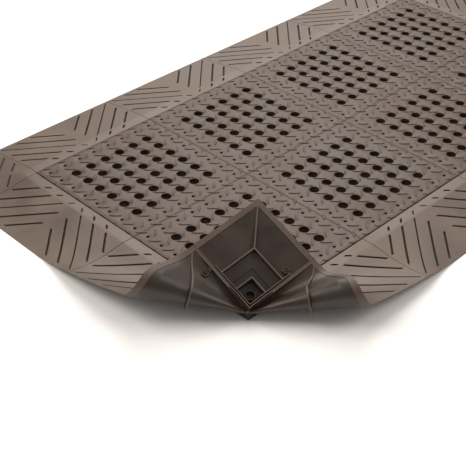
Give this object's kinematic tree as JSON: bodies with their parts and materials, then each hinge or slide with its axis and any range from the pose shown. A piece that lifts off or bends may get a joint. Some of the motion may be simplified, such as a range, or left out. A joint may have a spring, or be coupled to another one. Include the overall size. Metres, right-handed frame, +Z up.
{
  "type": "interlocking drainage mat",
  "caption": "Mat of interlocking square tiles with drain holes, edged with sloping ramps and corner ramps; a corner is turned up and over and shows its ribbed underside.",
  "frame": {"origin": "middle of the mat's plan, on the floor that it lies on", "axes": "+X along the mat's length, +Y across it away from the turned-up corner, +Z up"},
  "size_m": [1.5291, 0.9188, 0.1314],
  "materials": {
    "tile_vinyl": "moulded flexible vinyl, satin, warm grey-brown",
    "ramp_vinyl": "moulded flexible vinyl, satin, warm grey-brown"
  },
  "bodies": {
    "root": {"tile_1_1": "tile_vinyl", "tile_1_2": "tile_vinyl", "tile_2_1": "tile_vinyl", "tile_2_2": "tile_vinyl", "tile_3_1": "tile_vinyl", "tile_3_2": "tile_vinyl", "tile_4_1": "tile_vinyl", "tile_4_2": "tile_vinyl", "front_ramp_1": "ramp_vinyl", "front_ramp_2": "ramp_vinyl", "front_ramp_3": "ramp_vinyl", "front_ramp_4": "ramp_vinyl", "back_ramp_1": "ramp_vinyl", "back_ramp_2": "ramp_vinyl", "back_ramp_3": "ramp_vinyl", "back_ramp_4": "ramp_vinyl", "left_ramp_1": "ramp_vinyl", "left_ramp_2": "ramp_vinyl", "right_ramp_1": "ramp_vinyl", "right_ramp_2": "ramp_vinyl", "corner_front_left": "ramp_vinyl", "corner_front_right": "ramp_vinyl", "corner_back_right": "ramp_vinyl", "corner_back_left": "ramp_vinyl"}
  },
  "joints": []
}
